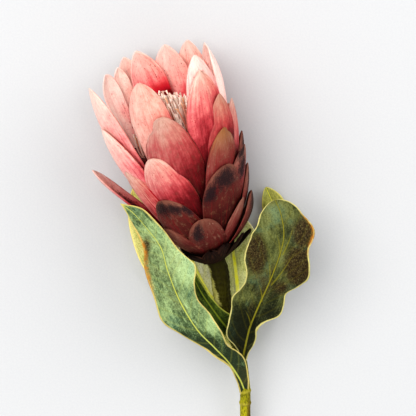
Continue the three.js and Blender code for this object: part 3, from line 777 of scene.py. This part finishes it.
def make_stem():
    steps, sides = STEM["steps"], STEM["sides"]
    s, angle = np.linspace(0, 1, steps + 1), even_angles(sides)
    down = s[:, None]
    taper = ease(down * STEM["length"], STEM["taper_from"], STEM["taper_to"])
    ring = sum(hump(s, at, 0.006) for at in STEM_RINGS)
    waves = 0.22 * (1 - 0.6 * ease(down, 0.3, 0.6)) * ripple(down * 9, np.cos(angle) * 0.6, 21)
    wrinkles = 0.12 * np.sin(down * 330 + 2.5 * np.sin(angle) + 3 * ripple(down * 5, 0, 5))
    wrinkles = wrinkles * (1 - ease(down, 0.2, 0.42))
    ridges = 0.08 * np.sin(angle * 7)
    radii = STEM["thick"] + (STEM["thin"] - STEM["thick"]) * taper + 0.55 * ring[:, None] - 0.1
    radii = radii + waves + wrinkles + ridges
    x, z = radii * np.sin(angle), radii * np.cos(angle)
    centre, tangent = STEM_LINE.point(s), STEM_LINE.tangent(s)
    slanted = ease(down, 0.985, 1) * tan(STEM["cut_slope"]) * z
    points = STEM_LINE.rings(s, x, z) + tangent[:, None] * slanted[..., None]
    shape = Shape()
    place = vector(np.cos(angle) * 4, np.sin(angle) * 4, down * STEM["length"])
    # Painted shade on the stem's right side as seen.
    painted_shade_side = ease(-np.sin(angle), -0.1, 0.8)
    shape.add(points, grid_quads(closed_rings(steps + 1, sides))[:, ::-1], place=place.reshape(-1, 3),
              down=np.repeat(s, sides), ring=np.repeat(ring, sides), cut=0,
              husk=leaf_foot(points).ravel(), browned=np.tile(painted_shade_side, steps + 1))
    end, rim, onwards = centre[-1], points[-1], tangent[-1]
    face = [end + (rim - end) * share - onwards * 0.25 * (share < 0.9) for share in CUT_RINGS]
    face = np.vstack([*face, end - onwards * 0.35])
    inside = closed_rings(len(CUT_RINGS), sides)
    middle = fan(len(face) - 1, inside[-1])[:, [0, 2, 1]]
    depth = np.append(np.repeat(1 - np.array(CUT_RINGS), sides), 1)
    plain = {"ring": 0, "browned": 0, "husk": 0}
    shape.add(face, grid_quads(inside)[:, ::-1], middle, place=face, down=1, cut=0.35 + depth, **plain)
    top = np.vstack([points[0], centre[0]])
    lid = fan(sides, closed_rings(1, sides)[0])
    shape.add(top, triangles=lid, place=top, down=0, cut=0, **plain)
    shape.build("stem_rod", make_stem_material(), "stem")


# Leaves

LEAF_THICK = 0.8
LEAF_FOLD = 10 * DEG


@dataclass
class Leaf:
    """A leaf: points along its midrib, half widths on both sides of it from stalk to tip, and its looks."""

    seed: int
    rib: list
    left: list
    # None for the same as on the left.
    right: list | None
    # How round the tip is, and the waves of the margins: how many, how high, and their start in degrees.
    roundness: float
    waves: float
    wave: float
    phase: float
    # Steps of the mesh along the leaf and across it.
    grid: tuple
    # Its light and dark tone, how brown its patches are, and the colours of its ribs and margin.
    light: tuple
    dark: tuple
    patchy: float
    ribs: tuple
    margin: tuple
    face: tuple = FRONT
    teeth: float = 0
    rib_scale: float = 1
    # Side veins that stand out: their ends, to the right and up as the flower grows.
    strong: tuple = ()
    # The light and deep green areas are partly painted light and painted shade, partly the leaf's own tone.
    # Light, deep green and brown areas: middle to the right and up, reach both ways, and strength.
    areas: dict = field(default_factory=dict)
    # A scorched margin: left (-1) or right (1), its middle and reach along the rib, and where it begins.
    scorch: tuple = ()

    def __post_init__(self):
        self.line = Line(self.rib)

    def share(self, a):
        """The share of the midrib for a row of the mesh, whose rows lie closer towards the tip."""
        return a * (1.25 - 0.25 * a)

    def width(self, s, t):
        """The half width at a share of the midrib, and how close to the tip that is."""
        close = np.clip((s - 0.9) / 0.1, 0, 0.998)
        width = np.where(t < 0, along(self.left, s), along(self.right or self.left, s))
        width = width * (1 - close ** 2) ** self.roundness
        if self.teeth:
            saw = (s * 34 + 0.3 * ripple(s * 3, 0, self.seed)) % 1
            width = width - self.teeth * saw * ease(s, 0.1, 0.2) * np.abs(t) ** 3
        return width * (1 + 0.012 * ripple(s * 5, 1, self.seed + 3)), close

    def surface(self, a, t):
        s = self.share(a)
        tangent = self.line.tangent(s)
        side = unit(np.cross(tangent, unit(np.array(self.face))))
        up = np.cross(side, tangent)
        width, close = self.width(s, t)
        edge = np.abs(t)
        start = self.phase * DEG + np.where(t < 0, pi * 0.6, 0)
        swing = self.wave * np.sin(2 * pi * self.waves * s + start) * edge ** 2
        body = np.sin(pi * np.minimum(s * 1.6, 0.5)) * (1 - close)
        rise = tan(LEAF_FOLD) * width * edge + swing * body
        return self.line.point(s) + side * (width * t)[..., None] + up * rise[..., None]

    def measures(self, a, t):
        """The width, the place across it, and how far that is from the midrib, in widths of the midrib, and
        in millimetres from the side veins and the strong veins."""
        s = self.share(a)
        width = self.width(s, t)[0]
        x = width * t
        from_rib = x / ((0.3 + 0.5 * (1 - s)) * self.rib_scale)
        veins = vein_distance(s, x, self.line.length, self.seed)
        strong = np.full(a.shape, 9.0)
        at = self.surface(a, t) if self.strong else None
        for start, end in self.strong:
            strong = np.minimum(strong, segment_distance(at[..., 0], at[..., 2], start, end))
        return width, x, from_rib, veins, strong

    def relief(self, a, t):
        s, edge = self.share(a), np.abs(t)
        width, x, from_rib, veins, strong = self.measures(a, t)
        free = (1 - self.width(s, t)[1]) * ease(s, 0.02, 0.1)
        lift = 0.4 * hump(from_rib, 0, 1) - 0.35 * hump(from_rib, 0, 2.6)
        lift = lift - 0.28 * hump(veins, 0, 0.9) * ease(np.abs(x), 1, 4) * (1 - 0.7 * edge ** 4)
        lift = lift + 0.2 * hump(strong, 0, 0.6)
        lift = lift + 0.35 * ripple(s * 5, x * 0.06, self.seed + 9) * (1 - edge ** 6)
        return lift * free

    def values(self, a, t):
        s, edge = self.share(a), np.abs(t)
        width, x, from_rib, veins, strong = self.measures(a, t)
        at = self.surface(a, t)
        values = {
            "place": vector(x, s * self.line.length, self.seed * 3.7),
            "rib": np.abs(from_rib),
            "rim": width * (1 - edge) + 4 * (1 - ease(edge, 0, 0.3)),
            "vein": veins,
            "strong": strong,
            "scorch": np.zeros(len(a)),
        }
        for kind in ("light", "deep", "brown"):
            values[kind] = np.zeros(len(a))
            for right, up, wide, high, strength in self.areas.get(kind, ()):
                spot = strength * hump(at[:, 0], right, wide) * hump(at[:, 2], up, high)
                values[kind] = np.maximum(values[kind], spot)
        if self.scorch:
            sign, middle, reach, inner = self.scorch
            values["scorch"] = hump(s, middle, reach) * ease(sign * t, inner, 1)
        return values


LEAVES = {
    "leaf_front_left": Leaf(
        seed=101,
        rib=[(20.4, 23, -88), (17, 15, -79), (10, 6, -68), (1, -1, -58), (-9, -8, -47), (-19, -14, -30),
             (-26, -20, -12), (-30, -25, 2), (-38, -25, 13), (-46, -23, 22), (-54, -21, 28)],
        left=[3.2, 2.4, 1.4, 3.4, 5.4, 10, 14.8, 13, 13, 11.5, 7.2, 5, 3],
        right=[2.5, 5.6, 9.4, 7, 10.4, 12, 10.2, 12.3, 16.5, 8.4, 7.2, 6, 3],
        roundness=1, waves=3.5, wave=2.6, phase=40, grid=(210, 66),
        light=(162, 182, 130), dark=(82, 100, 66), patchy=0.3, ribs=(196, 196, 92), margin=(210, 192, 120),
        rib_scale=0.8, scorch=(-1, 0.74, 0.15, 0.6),
        areas={
            "light": [(-17, -7, 12, 15, 0.35), (-12, -32, 6, 6, 0.2), (-34, 4, 5, 7, 0.2),
                      (0, -47, 4, 5, 0.25)],
            "deep": [(-18, -53, 8, 6, 0.8), (-5, -60, 10, 8, 1.2), (5, -70, 9, 9, 1.2),
                     (16, -79, 9, 10, 1.2), (14, -62, 7, 8, 1.1)],
            "brown": [(-38.5, 2, 3.5, 9, 0.8), (-37, -14, 4, 8, 0.35), (-11, -28, 4, 6, 0.2)],
        },
    ),
    "leaf_front_right": Leaf(
        seed=108,
        rib=[(18.5, 18.5, -68), (20.5, 10, -57), (23, 3, -46), (28, -4, -33), (36, -11, -14), (42, -17, 6),
             (41, -16, 20), (37.5, -11, 30)],
        left=[2.5, 3.5, 7.5, 13.5, 14, 14.9, 17, 14.9, 14.4, 16.4, 19.8, 20.5, 19.8, 19.4, 15.3, 12.4, 10],
        right=[2.5, 3.3, 5.3, 5.4, 4.2, 7, 13.6, 13.9, 12.4, 17, 20.1, 18.4, 15.5, 18.3, 13.9, 10, 7.3],
        roundness=0.5, waves=2.5, wave=2.6, phase=200, grid=(200, 76), face=(0.1, -1, 0),
        light=(108, 112, 66), dark=(54, 58, 30), patchy=0.55, ribs=(140, 132, 32), margin=(214, 204, 136),
        scorch=(1, 0.82, 0.09, 0.8),
        strong=[((37, 12.8), (40.2, -3.6)), ((48, 16), (41.8, -2.2)), ((49.6, 1), (35.4, -20.4)),
                ((32.3, -2.2), (34.2, -18)), ((26.8, -18), (29.9, -30.6)), ((18.8, -34.6), (23.2, -44.8))],
        areas={
            "light": [(36, 23, 7, 9, 0.4), (33, 8, 5, 8, 0.25), (41, -4, 3, 9, 0.3), (26, -14, 5, 4, 0.3),
                      (20, -30, 5, 6, 0.2)],
            "deep": [(57, -13, 5, 10, 0.7), (20, -46, 9, 12, 1), (16, -57, 8, 8, 0.9),
                     (35, -38, 7, 7, 0.5)],
            "brown": [(26, -2, 6.5, 13, 1.3), (54, 10, 8, 11, 1.1), (51, -9, 9, 13, 1.3),
                      (41, -22, 7, 6, 0.8), (24, -34, 4, 8, 0.5)],
        },
    ),
    "leaf_back_right": Leaf(
        seed=115,
        rib=[(16, 17, -61), (21, 22, -51), (25, 26, -36), (31, 27, -14), (37, 25.5, 6), (39, 22.5, 22),
             (33, 18.5, 38)],
        left=[2.5, 5, 8, 10, 11, 11, 10.5, 10, 9, 7, 5],
        right=None,
        roundness=0.6, waves=2.5, wave=1.5, phase=90, grid=(130, 44),
        light=(176, 174, 98), dark=(134, 134, 66), patchy=0.3, ribs=(216, 212, 90), margin=(216, 206, 120),
    ),
    # Its tones and rib are very light: partly the leaf's own pale colour, partly painted light against the
    # head's shadow on it.
    "leaf_back_centre_left": Leaf(
        seed=122,
        rib=[(9, 11, -40), (4, 14, -34), (-2, 16, -27), (-8, 18, -16), (-13, 19.5, -4), (-16, 20.5, 8),
             (-17, 20.5, 20)],
        left=[2.5, 5, 8, 10, 10, 10, 9.5, 9, 7.5, 5.5, 4],
        right=[2.5, 4, 6, 8, 9.5, 10, 9.5, 9, 7.5, 5.5, 4],
        roundness=0.8, waves=2.5, wave=1, phase=0, grid=(150, 50), teeth=0.8, rib_scale=2.1,
        light=(254, 252, 222), dark=(238, 236, 176), patchy=0.1,
        ribs=(252, 248, 60), margin=(250, 246, 212),
    ),
    # Its tones and rib are very light: partly the leaf's own pale colour, partly painted light against the
    # head's shadow on it.
    "leaf_back_centre_right": Leaf(
        seed=129,
        rib=[(13.5, 15, -54), (15.6, 17.5, -44), (15.6, 18, -24), (12.4, 18.5, 2), (9, 20.5, 18),
             (6.5, 21.5, 32)],
        left=[2.5, 4, 7, 9, 11, 12, 12, 11, 9, 6.5, 4],
        right=[2.5, 5, 8, 11, 13, 14.5, 16, 15.5, 12, 8, 4],
        roundness=0.8, waves=2.5, wave=1.2, phase=150, grid=(150, 50), face=(0.05, -1, 0), rib_scale=2.1,
        light=(238, 238, 182), dark=(208, 212, 134), patchy=0.15,
        ribs=(254, 250, 60), margin=(246, 240, 190),
    ),
    "leaf_low_small": Leaf(
        seed=136,
        rib=[(12.5, 14, -51), (8, 8, -46), (2, 5, -38), (-5, 4, -28), (-10, 5, -19), (-14, 7, -10)],
        left=[2.5, 5, 6, 6.5, 6.5, 6, 5.5, 5, 4, 3, 2],
        right=[2.5, 7, 8.5, 6, 4.5, 4, 3.5, 3.5, 3, 2.5, 2],
        roundness=1, waves=2, wave=0.6, phase=0, grid=(100, 36),
        light=(104, 122, 48), dark=(44, 60, 22), patchy=0.2, ribs=(140, 150, 50), margin=(184, 184, 90),
    ),
    "leaf_back_left": Leaf(
        seed=143,
        rib=[(14.5, 16, -59), (8, 21, -51), (-7, 25, -36), (-20, 26, -20), (-32, 25, -5), (-43, 22, 17),
             (-48.6, 18, 37)],
        left=[2.5, 5, 9, 12, 13, 13, 12, 11, 9, 6, 4],
        right=None,
        roundness=0.9, waves=2.5, wave=1.5, phase=120, grid=(130, 44),
        light=(240, 232, 160), dark=(190, 194, 104), patchy=0.2,
        ribs=(236, 228, 110), margin=(244, 226, 144),
    ),
}


def vein_distance(s, x, length, seed):
    """Millimetres from the nearest side vein, for a share of the rib and millimetres across it."""
    rng = np.random.default_rng(seed)
    best = np.full(s.shape, 9.0)
    reach = np.abs(x)
    for sign in (-1, 1):
        starts = np.cumsum(rng.uniform(7, 12, 20)) - 14
        for start in starts[starts < length]:
            slope = rng.uniform(1, 1.35)
            at = start + slope * reach + 0.012 * reach ** 2 + 0.5 * np.sin(reach * 0.35 + start)
            distance = np.abs(s * length - at) / sqrt(1 + slope * slope)
            best = np.where(np.sign(x) == sign, np.minimum(best, distance), best)
    return best


def segment_distance(x, z, start, end):
    """Millimetres from a vein that bows a little between its ends and fades at its start."""
    start, end = np.array(start), np.array(end)
    way = end - start
    u = np.clip(((x - start[0]) * way[0] + (z - start[1]) * way[1]) / (way @ way), 0, 1)
    bow = 0.8 * np.sin(pi * u)
    dx, dz = x - start[0] - u * way[0], z - start[1] - u * way[1]
    normal = np.array([-way[1], way[0]]) / np.linalg.norm(way)
    return np.hypot(dx - bow * normal[0], dz - bow * normal[1]) + 0.5 * (1 - u) ** 2


def make_leaf_material(name, leaf):
    pale, deep = [min(255, v + 22) for v in leaf.light], [v * 0.62 for v in leaf.dark]
    s = Shader(name + "_skin", roughness=0.55, specular=0.14)
    cloud = s.noise((0.075, 0.05, 1), detail=5, roughness=0.65)
    patch = s.noise((0.05, 0.035, 1.7), detail=4, roughness=0.65, distortion=0.6)
    mottle = s.noise((0.45, 0.35, 1), detail=6, roughness=0.72)
    speck = s.noise((1.5, 1.3, 1), detail=4, roughness=0.75)
    fibre = s.noise((0.8, 0.07, 1), detail=5, roughness=0.65)
    teal = s.noise((0.06, 0.045, 2.3), detail=4)
    # The light and deep areas lift and lower the tone: partly painted light and painted shade, partly the
    # leaf's own tone.
    tone = s.plus(s.lean(cloud, 1.1), s.lean(mottle, 0.7), s.lean(fibre, 0.6), 0.5, s.value("light"),
                  s.times(s.value("deep"), -1))
    s.colour = s.ramp(tone, {0: deep, 0.35: leaf.dark, 0.7: leaf.light, 1: pale})
    kept = s.step(s.value("deep"), 0.15, 0.8, 1, 0.15)
    s.cover(s.times(s.step(teal, 0.52, 0.7, 0, 0.35), kept), (92, 134, 118))
    browned = s.plus(s.value("brown"), s.lean(mottle, 0.8), s.lean(fibre, 0.5))
    browned = s.times(s.step(browned, 0.25, 0.85), s.step(s.value("brown"), 0.02, 0.2))
    s.cover(browned, s.mix(s.step(speck, 0.3, 0.7), (84, 66, 36), (34, 26, 14)))
    s.cover(s.step(patch, 0.54, 0.7, 0, leaf.patchy), (96, 80, 46))
    s.cover(s.times(s.step(fibre, 0.54, 0.72, 0, 0.3), kept), pale)
    s.cover(s.step(speck, 0.5, 0.66, 0, 0.55), deep)
    s.cover(s.times(s.step(speck, 0.48, 0.34, 0, 0.4), kept), pale)
    s.cover(s.step(s.value("vein"), 0.2, 0.8, 0.09, 0), leaf.ribs)
    s.cover(s.step(s.value("strong"), 0.2, 0.7, 0.5, 0), leaf.ribs)
    near_rib = s.step(s.value("rib"), 0.55, 1.15, 0.95, 0)
    shade = s.times(s.step(s.value("rib"), 1.1, 2.6, 0.45, 0), s.step(fibre, 0.35, 0.6))
    s.cover(shade, deep)
    s.cover(near_rib, s.mix(s.step(mottle, 0.35, 0.65, 0, 0.4), leaf.ribs, leaf.light))
    under = s.mix(s.step(mottle, 0.35, 0.65), s.mix(0.5, leaf.light, (206, 204, 158)), leaf.light)
    under = s.mix(near_rib, under, leaf.ribs)
    s.colour = s.mix(s.value("upper"), under, s.colour)
    rim = s.plus(s.value("rim"), s.lean(mottle, 0.9))
    s.cover(s.step(rim, 0.45, 1.1, 0.85, 0), leaf.margin)
    scorch = s.times(s.step(s.value("scorch"), 0.15, 0.8, 0, 0.85), s.step(mottle, 0.3, 0.6))
    s.cover(scorch, (186, 124, 46))
    normal = s.bump((fibre, 0.0009, 0.6), (speck, 0.0003, 0.8), (mottle, 0.0012, 0.5))
    return s.finish(normal, s.step(speck, 0.35, 0.7, 0.42, 0.62))


def make_leaf(name, leaf):
    points, quads, a, t, face = blade(leaf.surface, LEAF_THICK, *leaf.grid, roundness=4, relief=leaf.relief)
    shape = Shape()
    shape.add(points, quads, upper=face, **leaf.values(a, t))
    shape.build(name + "_blade", make_leaf_material(name, leaf), name)


# Floor, lights and camera

FLOOR_HALF = 3.0
# Where the camera is in millimetres as the flower grows, and half the width that it shows at the flower.
CAMERA_AT = np.array([-2.4, -1000.0, 25.2])
HALF_VIEW = 124.8
# Square lights: the direction that they come from, their side in metres, power and colour.
LIGHTS = {
    "key": ((-0.4, -0.9, 0.25), 2.6, 56.0, (1, 0.99, 0.97)),
    "fill": ((0.7, -0.62, 0.3), 2.4, 25.0, (1, 0.98, 0.97)),
}
LIGHT_DISTANCE = 3.0
MIDDLE_HEIGHT = 0.04


def make_floor():
    mesh = bpy.data.meshes.new("floor")
    corners = [(x * FLOOR_HALF, y * FLOOR_HALF, 0) for x, y in ((-1, -1), (1, -1), (1, 1), (-1, 1))]
    mesh.from_pydata(corners, [], [(0, 1, 2, 3)])
    floor = add_object("floor", mesh)
    s = Shader("floor_paper", roughness=0.9, specular=0.2)
    fine = s.noise((900.0, 900.0, 900.0), at=s.put("ShaderNodeTexCoord").outputs["Object"])
    s.colour = s.mix(s.step(fine, 0.3, 0.7), (191, 191, 192), (194, 194, 194))
    mesh.materials.append(s.finish(s.bump((fine, 0.00004, 0.3))))


def make_light(name, direction, side, power, colour):
    light = bpy.data.lights.new(name, "AREA")
    light.shape = "SQUARE"
    light.size = side
    light.energy = power
    light.color = colour
    lamp = add_object(name, light)
    towards = (REST @ Vector(direction)).normalized()
    lamp.location = towards * LIGHT_DISTANCE + Vector((0, 0, MIDDLE_HEIGHT))
    lamp.rotation_euler = towards.to_track_quat("Z", "Y").to_euler()


def make_backdrop():
    world = bpy.data.worlds.new("studio")
    world.use_nodes = True
    backdrop = next(n for n in world.node_tree.nodes if n.type == "BACKGROUND")
    backdrop.inputs["Color"].default_value = (0.96, 0.98, 1, 1)
    backdrop.inputs["Strength"].default_value = 0.7
    SCENE.world = world
    SCENE.view_settings.view_transform = "Standard"
    SCENE.view_settings.look = "High Contrast"


def make_camera():
    data = bpy.data.cameras.new("camera")
    data.sensor_fit = "HORIZONTAL"
    data.angle = 2 * atan(HALF_VIEW / -CAMERA_AT[1])
    data.clip_start = 0.01
    camera = add_object("camera", data)
    right, up, back = REST @ Vector((1, 0, 0)), REST @ Vector((0, 0, 1)), REST @ Vector(FRONT)
    place = Matrix((right, up, back)).transposed().to_4x4()
    place.translation = Vector(laid_down(CAMERA_AT))
    camera.matrix_world = place
    SCENE.camera = camera


make_bracts()
make_scales()
make_florets()
make_stem()
for name, leaf in LEAVES.items():
    make_leaf(name, leaf)
make_floor()
make_camera()
for name, light in LIGHTS.items():
    make_light(name, *light)
make_backdrop()
